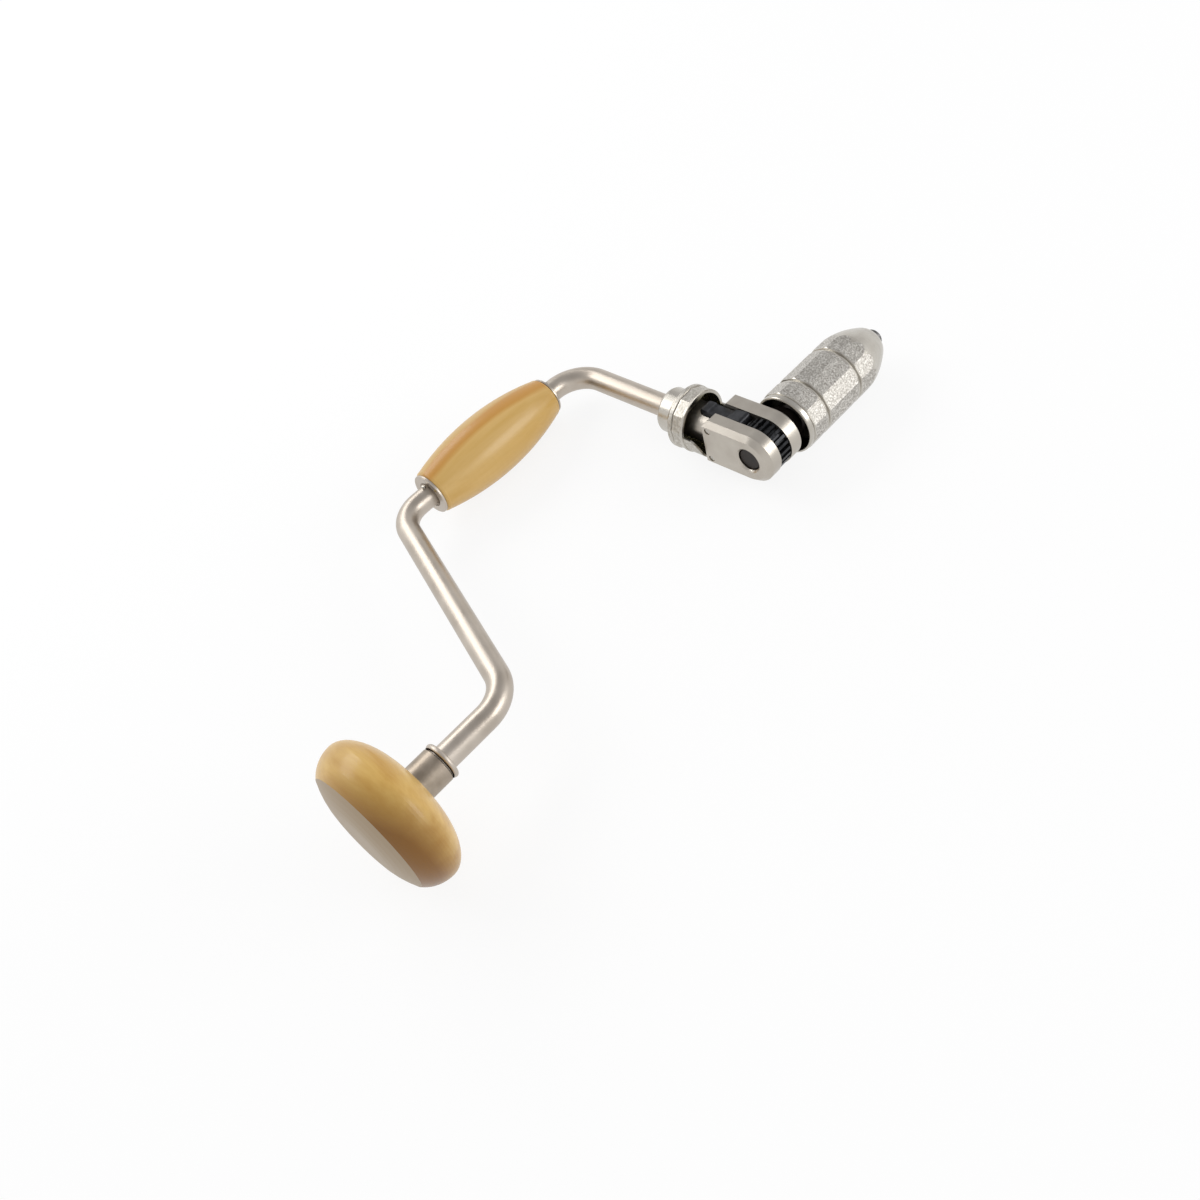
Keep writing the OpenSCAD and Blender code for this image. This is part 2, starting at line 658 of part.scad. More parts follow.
// Band, hub and the plain flange at the mouth, in one solid with no bores
module ring_blank() {
    along_arm(ring_mouth_y) rotate_extrude($fn = 96) polygon([
        [0, 0], [ring_r - flange_lip, 0], [ring_r - 0.2*flange_lip, 0.4*flange_lip],
        [ring_r - 0.2*flange_lip, ring_flange_w], [0, ring_flange_w]]);
    along_arm(ring_mouth_y + ring_flange_w - hair) rotate([0, 0, ring_phase])
        cylinder(r = ring_flat_r/cos(180/ring_flats), h = ring_groove_y - ring_mouth_y - ring_flange_w,
            $fn = ring_flats);
    along_arm(0) rotate_extrude($fn = 96) polygon([
        [0, ring_groove_y - groove_half], [ring_flat_r - groove_half, ring_groove_y - groove_half],
        [ring_flat_r - groove_half, ring_groove_y], [ring_r, ring_groove_y + groove_half],
        [ring_r, ring_band_y - groove_half], [ring_r - 2*groove_half, ring_band_y],
        [ring_hub_r + 1, ring_hub_y], [ring_hub_r, ring_hub_y],
        [ring_hub_r, ring_end_y - hub_round], [ring_hub_r - hub_round/3, ring_end_y - hub_round/3],
        [ring_hub_r - hub_round, ring_end_y], [0, ring_end_y]]);
}

// Skirt that reaches under the lower pawl from the cup's mouth, drawn in [Y, Z]
module ring_skirt() intersection() {
    along_arm(ring_skirt_y) cylinder(r = skirt_r, h = ring_mouth_y + ring_flange_w/2 - ring_skirt_y);
    across_slot(arm_x - 2*ring_r, 4*ring_r) polygon([
        [ring_mouth_y + ring_flange_w, -2*ring_r], [ring_mouth_y + ring_flange_w, skirt_top_z],
        for (a = [90:10:180]) [ring_skirt_y + skirt_round, skirt_top_z - skirt_round] + polar(skirt_round, a),
        [ring_skirt_y, -2*ring_r]]);
}

module cam_ring() color(nickel) difference() {
    union() {
        ring_blank();
        ring_skirt();
    }
    // Cup with a flat land over the upper pawl
    difference() {
        along_arm(ring_skirt_y - 1) cylinder(r = cup_r, h = cup_floor_y - ring_skirt_y + 1);
        along_arm(ring_mouth_y + edge) rotate([0, 0, land_a]) translate([-2*ring_r, -2*ring_r, 0])
            cube([2*ring_r + land_depth - cup_r, 4*ring_r, ring_end_y]);
    }
    along_arm(0) cylinder(r = hub_bore_r, h = neck_end_y + 0.3);
    along_arm(0) cylinder(r = bar_r + 0.35, h = 2*ring_end_y);
    along_arm(detent_y - detent_r - 0.2) cylinder(r = click_groove_r, h = 2*detent_r + 0.4);
    for (a = [-ring_turn, 0, ring_turn]) along_arm(detent_y) rotate([0, 0, a]) rotate([0, 90, 0])
        translate([0, 0, detent_seat_r]) sphere(detent_r + 0.12);
}

module ring_clip() color(steel) along_arm(ring_end_y + 0.35) difference() {
    tube(bar_r + 1.1, bar_r, 1);
    translate([-1, 0, -1]) cube([2, 2*bar_r, 3]);
}

module detent_ball() color(steel) along_arm(detent_y) rotate([0, 90, 0]) translate([0, 0, detent_seat_r])
    sphere(detent_r);

module detent_spring() color(steel) along_arm(detent_y) rotate([0, 90, 0])
    translate([0, 0, spring_seat_r + 0.03])
        coil(detent_r - 0.1, 0.22, detent_seat_r - detent_r - spring_seat_r - 0.06, 5);

// Wheel and spindle

module wheel_outline() polygon([for (i = [0:teeth - 1]) let (a = (i + 0.5)*tooth_step) each [
    polar(root_r, a - root_half_a), polar(wheel_r, a - tip_half_a),
    polar(wheel_r, a + tip_half_a), polar(root_r, a + root_half_a)]]);

module wheel_pin_hole() translate([arm_x, 0, 0]) cylinder(r = wheel_pin_r, h = 4*wheel_r, center = true);

module ratchet_wheel() color(oxide) difference() {
    across_slot(wheel_x0, wheel_w) difference() {
        wheel_outline();
        circle(journal_rear_r);
    }
    wheel_pin_hole();
}

module wheel_pin() color(steel) translate([arm_x, 0, pin_recess - root_r])
    bevelled_rod(wheel_pin_r, 2*(root_r - pin_recess), edge);

module chuck_spindle() color(oxide) difference() {
    turned([
        [0, spindle_x0], [journal_front_r - 0.6, spindle_x0], [journal_front_r, spindle_x0 + 0.6],
        [journal_front_r, wheel_x0], [journal_rear_r, wheel_x0], [journal_rear_r, flange_x],
        [flange_r, flange_x], [flange_r, screw_x], [journal_rear_r + relief_rise, screw_x],
        [journal_rear_r + relief_rise, screw_x + relief_w],
        [screw_r, screw_x + relief_w + thread_lead], [screw_r, screw_end_x - 1], [screw_r - 1, screw_end_x],
        [0, screw_end_x]]);
    wheel_pin_hole();
    translate([slot_x, -jaw_slot_w/2, -2*screw_r]) cube([screw_end_x, jaw_slot_w, 4*screw_r]);
}

module thrust_washer() color(brass) along_x(thrust_x) tube(flange_r - 0.4, journal_rear_r + run_gap, thrust_t);

// Shell

// Outline of one band from its edge towards the box to its round shoulder towards the nose
function band_points(x0, x1) = [[shell_r - band_rise, x0], [shell_r - band_rise/3, x0 + band_back/3],
    [shell_r, x0 + band_back],
    for (t = [0:0.25:1]) [shell_r - band_rise*pow(t, shoulder_bow), x1 - band_front*(1 - t)]];

// Outline of the last band and the nose, whose lip turns in to the face round the jaws
function nose_points() = let (
        lip_t = 1 - lip_w/nose_len,
        lip = [shell_r - nose_fall*pow(lip_t, nose_bow), shell_end_x - lip_w],
        slope = nose_fall*nose_bow*pow(lip_t, nose_bow - 1)/nose_len) [
    [shell_r - band_rise, band_x[2]], [shell_r - band_rise/3, band_x[2] + band_back/3],
    [shell_r, band_x[2] + band_back],
    for (t = [0:0.1:0.8]) [shell_r - nose_fall*pow(t*lip_t, nose_bow), nose_x + nose_len*t*lip_t],
    for (t = [0:0.2:1]) bow(lip, [lip.x - slope*lip_w, shell_end_x], [nose_r, shell_end_x], t)];

module shell_blank() intersection() {
    turned([[0, band_x[0]], for (i = [0:1]) each band_points(band_x[i], band_x[i + 1]), each nose_points(),
        [0, shell_end_x]]);
    along_x(band_x[0] - 1) rotate([0, 0, shell_phase])
        cylinder(r = shell_r, h = shell_end_x - band_x[0] + 2, $fn = shell_flats);
}

module chuck_shell() color(nickel) difference() {
    union() {
        shell_blank();
        turned([[0, shell_x], [rim_r - rim_round, shell_x], [rim_r - rim_round/4, shell_x + rim_round/4],
            [rim_r, shell_x + rim_round], [rim_r, band_x[0] - edge], [rim_r - edge, band_x[0] + hair],
            [0, band_x[0] + hair]]);
    }
    turned([
        [0, shell_x - 1], [mouth_r, shell_x - 1], [mouth_r, thread_x0 - bore_taper],
        [screw_r + run_gap, thread_x0], [screw_r + run_gap, thread_x1], [chamber_r, thread_x1 + bore_taper],
        [chamber_r, shoulder_x], [cone_r0 + cone_wall + face_gap, shoulder_x],
        [cone_r1 + cone_wall + face_gap, cone_x1 + face_gap], [nose_hole_r, cone_x1 + 1.4],
        [nose_hole_r, shell_end_x + 1], [0, shell_end_x + 1]]);
}

// Cone that closes the jaws: it slides with the shell and does not turn with it
module jaw_cone() color(steel) turned([
    [cone_r0, race_flange_x], [chamber_r - 0.2, race_flange_x], [chamber_r - 0.2, cone_x0],
    [cone_r0 + cone_wall, cone_x0], [cone_r0 + cone_wall - cone_slope*(shoulder_x - cone_x0), shoulder_x],
    [cone_r1 + cone_wall, cone_x1], [cone_r1, cone_x1], [cone_r0, cone_x0]]);

module shell_balls() color(steel) for (i = [0:race_balls_n - 1]) rotate([i*360/race_balls_n, 0, 0])
    translate([cone_x0 + race_ball_gap + race_ball_r, 0, race_ball_pcr]) sphere(race_ball_r, $fn = 32);

// Jaws

// Outline of both jaws together, turned about the bit axis
module jaw_form() {
    lead = cone_x0 + jaw_lead;
    turned([
        [0, jaw_head_x], [cone_r0 - 0.8, jaw_head_x], [cone_r0 - 0.6, jaw_head_x + 0.6],
        [cone_r0 - face_gap - cone_slope*jaw_lead, lead],
        [cone_r1 - face_gap, cone_x1], [jaw_tip_r, cone_x1 + 1.6], [jaw_tip_r, jaw_x1 - 1.4],
        [jaw_tip_r - 0.4, jaw_x1 - 0.5], [jaw_tip_r - 1.3, jaw_x1], [0, jaw_x1]]);
}

module jaw_upper() color(oxide) difference() {
    union() {
        intersection() {
            jaw_form();
            translate([jaw_head_x - 1, -2*shell_r, jaw_half_gap]) cube([jaw_x1, 4*shell_r, shell_r]);
        }
        translate([jaw_heel[0], face_gap - jaw_slot_w/2, jaw_half_gap]) cube([jaw_head_x - jaw_heel[0] + 1,
            jaw_slot_w - 2*face_gap, 2*jaw_heel_r]);
        translate([jaw_heel[0], 0, jaw_heel[1]]) rotate([90, 0, 0])
            cylinder(r = jaw_heel_r, h = jaw_slot_w - 2*face_gap, center = true);
    }
    along_x(jaw_x1 - shank_depth) cylinder(r = shank_r, h = shank_depth + 1);
    along_x(jaw_x1 - 0.8) cylinder(r1 = shank_r, r2 = shank_r + 1, h = 1);
    translate([jaw_spring_x, 0, 0]) cylinder(r = jaw_pocket_r, h = jaw_pocket_h);
}

module jaw_lower() mirror([0, 0, 1]) jaw_upper();

module jaw_spring() color(steel) translate([jaw_spring_x, 0, 0.15 - jaw_pocket_h])
    coil(jaw_pocket_r - 0.3, 0.3, 2*(jaw_pocket_h - 0.15), 5);

crank();
head_collar();
head_washer();
head_nut();
head_knob();
head_quill();
head_race();
head_balls();
grip();
grip_bush_lower();
grip_bush_upper();
grip_nails();
grip_stop_pins();
ratchet_box();
box_pin();
pawl_pin_upper();
pawl_pin_lower();
pawl_upper();
pawl_lower();
pawl_spring();
cam_ring();
ring_clip();
detent_ball();
detent_spring();
ratchet_wheel();
wheel_pin();
chuck_spindle();
thrust_washer();
chuck_shell();
jaw_cone();
shell_balls();
jaw_upper();
jaw_lower();
jaw_spring();
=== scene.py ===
import math

import bmesh
import bpy
from mathutils import Matrix, Vector


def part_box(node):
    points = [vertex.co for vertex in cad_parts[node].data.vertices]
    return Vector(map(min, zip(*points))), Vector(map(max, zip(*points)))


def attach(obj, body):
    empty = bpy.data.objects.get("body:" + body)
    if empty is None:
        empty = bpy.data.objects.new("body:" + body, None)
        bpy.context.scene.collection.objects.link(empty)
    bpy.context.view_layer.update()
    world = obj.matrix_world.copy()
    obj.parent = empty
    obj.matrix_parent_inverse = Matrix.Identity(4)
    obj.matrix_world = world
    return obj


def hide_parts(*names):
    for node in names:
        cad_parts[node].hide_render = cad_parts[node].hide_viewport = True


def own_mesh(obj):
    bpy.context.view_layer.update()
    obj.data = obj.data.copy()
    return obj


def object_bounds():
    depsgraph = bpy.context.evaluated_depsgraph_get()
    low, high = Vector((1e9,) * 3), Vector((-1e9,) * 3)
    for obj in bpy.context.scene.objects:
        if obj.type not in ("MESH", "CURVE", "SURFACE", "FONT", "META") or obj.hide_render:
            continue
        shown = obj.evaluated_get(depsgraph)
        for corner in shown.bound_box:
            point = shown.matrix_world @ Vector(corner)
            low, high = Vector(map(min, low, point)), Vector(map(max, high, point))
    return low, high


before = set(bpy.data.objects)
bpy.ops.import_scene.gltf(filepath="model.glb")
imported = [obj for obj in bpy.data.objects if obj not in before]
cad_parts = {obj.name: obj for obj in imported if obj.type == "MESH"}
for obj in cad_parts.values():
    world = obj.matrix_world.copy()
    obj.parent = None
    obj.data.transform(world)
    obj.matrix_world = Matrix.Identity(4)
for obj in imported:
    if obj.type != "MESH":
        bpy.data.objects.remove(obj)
cad_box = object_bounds()
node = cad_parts
MM = 0.001


# Crank: one round steel bar, bent cold in three places, blasted with fine glass and plated with nickel.
# Its lower end is turned down to a stud inside the head, and its upper end is pinned in the neck of the box.
bar_r = 5.85
throw = 127
arm_x = 259.6
bar_path = [(17.7, 0), (83.5, 0), (129.5, throw), (arm_x, throw), (arm_x, 42)]
bend_r = [20, 17, 18]
stud_r, stud_x = 4, 10.4


def linear(colour):
    """An sRGB hex colour as linear red, green, blue and alpha."""
    parts = [int(colour[i:i + 2], 16)/255 for i in (1, 3, 5)]
    return tuple(c/12.92 if c <= 0.04045 else ((c + 0.055)/1.055)**2.4 for c in parts) + (1,)


def per_mm(size):
    """Texture scale at which a pattern repeats about every size millimetres."""
    return 1/(size*MM)


def new_material(name):
    """A material with one Principled shader, as the material, its tree and the shader."""
    made = bpy.data.materials.new(name)
    made.use_nodes = True
    return made, made.node_tree, made.node_tree.nodes["Principled BSDF"]


def add_node(tree, kind, inputs=None, stops=(), **settings):
    """Adds a node, sets its settings, and fills its inputs with values or with another node's output."""
    made = tree.nodes.new(kind)
    for name, value in settings.items():
        setattr(made, name, value)
    for name, value in (inputs or {}).items():
        if isinstance(value, bpy.types.NodeSocket):
            tree.links.new(value, made.inputs[name])
        else:
            made.inputs[name].default_value = value
    for i, (place, colour) in enumerate(stops):
        stop = made.color_ramp.elements[i] if i < 2 else made.color_ramp.elements.new(place)
        stop.position, stop.color = place, colour
    return made


def worn_metal(name, dark, pale, shine, metallic=1.0, patch=14, grit=0.9, grit_depth=0.15, grit_strength=0.18):
    """Metal whose colour and roughness drift in patches of some millimetres, with fine pits all over."""
    made, tree, surface = new_material(name)
    place = add_node(tree, "ShaderNodeTexCoord").outputs["Object"]
    clouds = add_node(tree, "ShaderNodeTexNoise", {"Vector": place, "Scale": per_mm(patch), "Detail": 3})
    pits = add_node(tree, "ShaderNodeTexNoise", {"Vector": place, "Scale": per_mm(grit), "Detail": 2})
    tone = add_node(tree, "ShaderNodeValToRGB", {"Fac": clouds.outputs["Fac"]},
                    stops=[(0.3, linear(dark)), (0.7, linear(pale))])
    gloss = add_node(tree, "ShaderNodeMapRange", {"Value": clouds.outputs["Fac"], "From Min": 0.3, "From Max": 0.7,
                                                  "To Min": shine[0], "To Max": shine[1]})
    relief = add_node(tree, "ShaderNodeBump", {"Height": pits.outputs["Fac"], "Strength": grit_strength,
                                               "Distance": grit_depth*MM})
    surface.inputs["Metallic"].default_value = metallic
    tree.links.new(tone.outputs["Color"], surface.inputs["Base Color"])
    tree.links.new(gloss.outputs["Result"], surface.inputs["Roughness"])
    tree.links.new(relief.outputs["Normal"], surface.inputs["Normal"])
    return made


def finish_piece(name, shape, material, body, stands_for=(), sharp=30):
    """Makes the bmesh a smooth shaded object, in place of the CAD nodes it stands for, and sets it on its body."""
    bmesh.ops.scale(shape, vec=(MM, MM, MM), verts=shape.verts)
    bmesh.ops.remove_doubles(shape, verts=shape.verts, dist=0.002*MM)
    bmesh.ops.recalc_face_normals(shape, faces=shape.faces)
    for face in shape.faces:
        face.smooth = True
    mesh = bpy.data.meshes.new(name)
    shape.to_mesh(mesh)
    shape.free()
    mesh.set_sharp_from_angle(angle=math.radians(sharp))
    mesh.materials.append(material)
    piece = bpy.data.objects.new(name, mesh)
    bpy.context.scene.collection.objects.link(piece)
    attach(piece, body)
    if stands_for:
        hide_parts(*stands_for)
    return piece


# Satin nickel over blasted steel: pale grey with a soft streak where it mirrors a lamp. The grit left pits of
# about 0.1 mm, drawn at 0.9 mm so that they show, and handling has polished it in cloudy patches.
satin_nickel = worn_metal("satin_nickel_on_blasted_steel", "#b3a99d", "#c4bbb0", (0.32, 0.44))

shape = bmesh.new()
start = Vector((*bar_path[0], 0))
across = Matrix.Translation(start) @ Matrix.Rotation(math.pi/2, 4, "Y")
mouth = bmesh.ops.create_circle(shape, segments=48, radius=bar_r, matrix=across)["verts"]
rim = list({edge for vert in mouth for edge in vert.link_edges})
bmesh.ops.contextual_create(shape, geom=rim)
for corner, radius in zip((1, 2, 3, 4), bend_r + [0]):
    here = Vector((*bar_path[corner], 0))
    way_in = (here - Vector((*bar_path[corner - 1], 0))).normalized()
    if radius:
        way_out = (Vector((*bar_path[corner + 1], 0)) - here).normalized()
        angle = way_in.xy.angle_signed(way_out.xy)*-1
        bend_start = here - way_in*radius*math.tan(abs(angle)/2)
    else:
        bend_start = here
    grown = bmesh.ops.extrude_edge_only(shape, edges=rim)["geom"]
    ends = [item for item in grown if isinstance(item, bmesh.types.BMVert)]
    bmesh.ops.translate(shape, verts=ends, vec=bend_start - start)
    rim = [item for item in grown if isinstance(item, bmesh.types.BMEdge) and all(v in ends for v in item.verts)]
    start = bend_start
    if radius:
        inward = Vector((-way_in.y, way_in.x, 0))*math.copysign(1, angle)
        turned = bmesh.ops.spin(shape, geom=rim, cent=bend_start + inward*radius, axis=(0, 0, 1), angle=angle,
                                steps=16, use_duplicate=False)["geom_last"]
        rim = [item for item in turned if isinstance(item, bmesh.types.BMEdge)]
        start = here + way_out*radius*math.tan(abs(angle)/2)
bmesh.ops.contextual_create(shape, geom=rim)
stud_w = bar_path[0][0] - stud_x
bmesh.ops.create_cone(shape, segments=32, radius1=stud_r, radius2=stud_r, depth=stud_w, cap_ends=True,
                      matrix=Matrix.Translation((stud_x + stud_w/2, 0, 0)) @ Matrix.Rotation(math.pi/2, 4, "Y"))
finish_piece("crank_bar", shape, satin_nickel, "crank_frame", ["crank"])


# Head: a flattened knob turned from beech with the grain across it, and lacquered on its round side. The face was
# sanded flat afterwards and is bare; its grey beige is partly the bare wood and partly painted shade. A broad brown
# band over the knob's side towards -Y is painted shade. The knob sits tight on the quill, a short steel tube.
def finish_node(name, material):
    """Gives a CAD node whose shape is right its material."""
    mesh = node[name].data
    mesh.materials.clear()
    mesh.materials.append(material)


def beech(name, stretch, tones, streak_and_shade, streak_and_shade_colour, streak_and_shade_noise, streak_and_shade_lean=0):
    """Lacquered beech: grain drawn out along one axis, and one darker band between two planes.

    On the grip the band is a board line in the grain; on the head it is painted shade on the knob's lower side.

    The planes stand square to Y, or lean by streak_and_shade_lean towards X."""
    made, tree, surface = new_material(name)
    place = add_node(tree, "ShaderNodeTexCoord").outputs["Object"]
    along = add_node(tree, "ShaderNodeMapping", {"Vector": place, "Scale": stretch})
    grain = add_node(tree, "ShaderNodeTexNoise", {"Vector": along.outputs["Vector"], "Scale": per_mm(7),
                                                  "Detail": 4, "Roughness": 0.55})
    tone = add_node(tree, "ShaderNodeValToRGB", {"Fac": grain.outputs["Fac"]},
                    stops=[(0.3, linear(tones[0])), (0.7, linear(tones[1]))])
    wave = add_node(tree, "ShaderNodeTexNoise", {"Vector": along.outputs["Vector"], "Scale": per_mm(11), "Detail": 2})
    depth = add_node(tree, "ShaderNodeVectorMath", {0: place, 1: (streak_and_shade_lean, 1, 0)}, operation="DOT_PRODUCT")
    shifted = add_node(tree, "ShaderNodeMath", {0: wave.outputs["Fac"], 1: streak_and_shade_noise*MM, 2: depth.outputs["Value"]},
                       operation="MULTIPLY_ADD")
    middle, half, soft = streak_and_shade
    off = add_node(tree, "ShaderNodeMath", {0: shifted.outputs["Value"], 1: (middle + streak_and_shade_noise/2)*MM},
                   operation="SUBTRACT")
    away = add_node(tree, "ShaderNodeMath", {0: off.outputs["Value"]}, operation="ABSOLUTE")
    band = add_node(tree, "ShaderNodeMapRange", {"Value": away.outputs["Value"], "From Min": half*MM,
                                                 "From Max": (half + soft)*MM, "To Min": 1, "To Max": 0})
    streak_and_shade_mix = add_node(tree, "ShaderNodeMix", {"Factor": band.outputs["Result"]}, data_type="RGBA")
    tree.links.new(tone.outputs["Color"], streak_and_shade_mix.inputs["A"])
    streak_and_shade_mix.inputs["B"].default_value = linear(streak_and_shade_colour)
    tree.links.new(streak_and_shade_mix.outputs["Result"], surface.inputs["Base Color"])
    surface.inputs["Roughness"].default_value = 0.42
    surface.inputs["Specular IOR Level"].default_value = 0.3
    surface.inputs["Coat Weight"].default_value = 0.4
    surface.inputs["Coat Roughness"].default_value = 0.22
    return made, tree, surface, streak_and_shade_mix


# The broad dark brown band, centred 32 mm towards -Y and leaning towards the face, is painted shade.
head_wood, tree, surface, streak_and_shade_mix = beech("lacquered_beech_head", (1, 0.1, 1), ("#bd9144", "#d6b267"),
                                       (-32, 24, 36), "#7c5000", 8, 2.4)
# The face, found by its normal, has less lacquer and a grey beige: partly its bare wood, partly painted shade.
place = add_node(tree, "ShaderNodeTexCoord").outputs["Normal"]
facing = add_node(tree, "ShaderNodeSeparateXYZ", {"Vector": place})
bare = add_node(tree, "ShaderNodeMapRange", {"Value": facing.outputs["X"], "From Min": -0.86, "From Max": -0.9,
                                             "To Min": 0, "To Max": 1})
bare_face_and_shade_tone = add_node(tree, "ShaderNodeMix", {"Factor": bare.outputs["Result"]}, data_type="RGBA")
tree.links.new(streak_and_shade_mix.outputs["Result"], bare_face_and_shade_tone.inputs["A"])
bare_face_and_shade_tone.inputs["B"].default_value = linear("#9d8a70")
tree.links.new(bare_face_and_shade_tone.outputs["Result"], surface.inputs["Base Color"])
coat = add_node(tree, "ShaderNodeMapRange", {"Value": bare.outputs["Result"], "To Min": 0.4, "To Max": 0.05})
tree.links.new(coat.outputs["Result"], surface.inputs["Coat Weight"])
finish_node("head_knob", head_wood)
# The quill is drawn browner and darker than the crank: painted reflection of the wood and the dim studio.
quill_nickel_with_painted_reflection = worn_metal("nickel_with_painted_reflection", "#978b7c", "#aea294", (0.34, 0.46), patch=6)
finish_node("head_quill", quill_nickel_with_painted_reflection)
finish_node("head_collar", satin_nickel)

# Bright steel: cut from bar and left plain. It serves the pins, the races, the balls and the springs.
bright_steel = worn_metal("bright_steel", "#a8a49d", "#c2beb6", (0.22, 0.34), patch=4, grit_strength=0.05)
for name in ("head_washer", "head_nut", "head_race", "head_balls"):
    finish_node(name, bright_steel)


# Grip: a beech barrel turned along the grain, bored right through and lacquered. A flanged steel bush is pressed
# into each end and held by two small nails, and a pin through the bar beside each end stops it from sliding.
grip_wood, *_ = beech("lacquered_beech_grip", (0.05, 1, 1), ("#c49c52", "#cfab6a"),
                        (throw - 1.5, 2.6, 2.4), "#bd893c", 7)
finish_node("grip", grip_wood)
for name in ("grip_bush_lower", "grip_bush_upper"):
    finish_node(name, satin_nickel)
dull_brass = worn_metal("dull_brass", "#86754f", "#a8926a", (0.32, 0.45), patch=3)
finish_node("grip_nails", dull_brass)
finish_node("grip_stop_pins", bright_steel)


# Ratchet box: a steel forging milled to a fork, with a round neck that takes the end of the bar. It is finer
# blasted than the crank before its nickel, and carries the bar's cross pin and the two pins of the pawls.
fine_nickel = worn_metal("satin_nickel_on_milled_steel", "#b3aca2", "#bfb9af", (0.3, 0.38), patch=9,
                         grit=0.6, grit_depth=0.08)


def break_edges(name, width):
    """Rounds a CAD node's sharp edges by width millimetres, as deburring and blasting do."""
    thing = node[name]
    thing.modifiers.new("weld", "WELD").merge_threshold = 0.002*MM
    flats = thing.modifiers.new("flats", "DECIMATE")
    flats.decimate_type, flats.angle_limit = "DISSOLVE", math.radians(0.5)
    bevel = thing.modifiers.new("bevel", "BEVEL")
    bevel.width, bevel.segments = width*MM, 2
    bevel.limit_method, bevel.angle_limit = "ANGLE", math.radians(25)
    thing.modifiers.new("shade", "WEIGHTED_NORMAL").weight = 90


finish_node("ratchet_box", fine_nickel)
break_edges("ratchet_box", 0.3)
for name in ("box_pin", "pawl_pin_upper", "pawl_pin_lower"):
    finish_node(name, bright_steel)


# Pawls: two hooked levers cut from plate, hardened and blackened in hot oxide, with one coil spring that pushes
# their tails apart.
black_oxide = worn_metal("black_oxide_on_steel", "#1f2023", "#36373b", (0.28, 0.44), metallic=0.6, patch=3)
for name in ("pawl_upper", "pawl_lower"):
    finish_node(name, black_oxide)
    break_edges(name, 0.25)

# The spring is drawn in two halves that meet in its middle, since each pawl presses its own half together.
spring_low, spring_high = (corner/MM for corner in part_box("pawl_spring"))
spring_middle = (spring_low + spring_high)/2
wire_r, half_turns, spring_steps, pressed = 0.35, 3, 72, 0.83
coil_r = spring_high.x - spring_middle.x - wire_r
rise = spring_high.z - spring_middle.z - wire_r
for side, way in (("upper", 1), ("lower", -1)):
    shape = bmesh.new()
    across = Matrix.Translation(spring_middle + Vector((coil_r, 0, 0))) @ Matrix.Rotation(math.pi/2, 4, "X")
    mouth = bmesh.ops.create_circle(shape, segments=10, radius=wire_r, matrix=across)["verts"]
    rim = list({edge for vert in mouth for edge in vert.link_edges})
    bmesh.ops.contextual_create(shape, geom=rim)
    turned = bmesh.ops.spin(shape, geom=rim, cent=spring_middle, axis=(0, 0, 1), angle=way*2*math.pi*half_turns,
                            dvec=(0, 0, way*rise/spring_steps), steps=spring_steps, use_duplicate=False)["geom_last"]
    bmesh.ops.contextual_create(shape, geom=[item for item in turned if isinstance(item, bmesh.types.BMEdge)])
    half = finish_piece("pawl_spring_" + side, shape, bright_steel, "crank_frame", ["pawl_spring"], 60)
    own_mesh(half)


